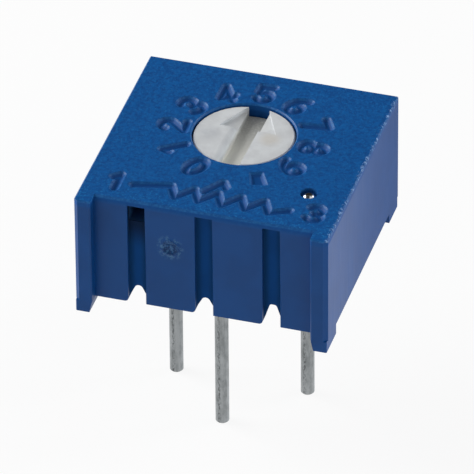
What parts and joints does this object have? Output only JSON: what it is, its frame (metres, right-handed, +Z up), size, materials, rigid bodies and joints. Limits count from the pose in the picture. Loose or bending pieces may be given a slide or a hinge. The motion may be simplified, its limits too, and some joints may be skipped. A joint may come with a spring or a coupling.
{
  "type": "trimmer potentiometer",
  "caption": "Square moulded trimmer potentiometer with a slotted rotor in its top face, a sealed contact spring on a printed track, and round pins for a circuit board.",
  "frame": {"origin": "middle of the square body, on the surface of the circuit board that its feet stand on", "axes": "+Z up through the top face with the rotor, pins down along -Z, -Y out of the channelled front wall, +X towards pin 3"},
  "size_m": [0.0096, 0.0096, 0.0108],
  "materials": {
    "housing_plastic": "moulded blue thermoplastic, fine spark-eroded grain on top, smoother walls",
    "rotor_plastic": "moulded off-white thermoplastic, satin",
    "ring_rubber": "silicone rubber, dull",
    "spring_metal": "stamped copper alloy spring, bright",
    "ceramic": "fired alumina, matt",
    "resistive_film": "fired cermet film, satin",
    "conductor_film": "fired silver-palladium film, dull grey",
    "tinned_wire": "dull tinned wire with drawing lines",
    "solder": "smooth solder",
    "resin": "cast epoxy resin, semi-gloss",
    "polished_steel": "polished steel"
  },
  "bodies": {
    "body": {"housing": "housing_plastic", "o_ring": "ring_rubber", "substrate": "ceramic", "resistive_track": "resistive_film", "track_end_1": "conductor_film", "track_end_3": "conductor_film", "collector_strip": "conductor_film", "pin_1": "tinned_wire", "pin_2": "tinned_wire", "pin_3": "tinned_wire", "solder_1": "solder", "solder_2": "solder", "solder_3": "solder", "potting": "resin", "vent_ball": "polished_steel"},
    "rotor": {"rotor": "rotor_plastic", "wiper": "spring_metal"}
  },
  "joints": [
    {"name": "rotor_turn", "type": "hinge", "parent": "body", "child": "rotor", "pos_m": [0, 0.00088, 0.00488], "axis": [0, 0, 1], "range_deg": [-153.7, 156.3]}
  ]
}
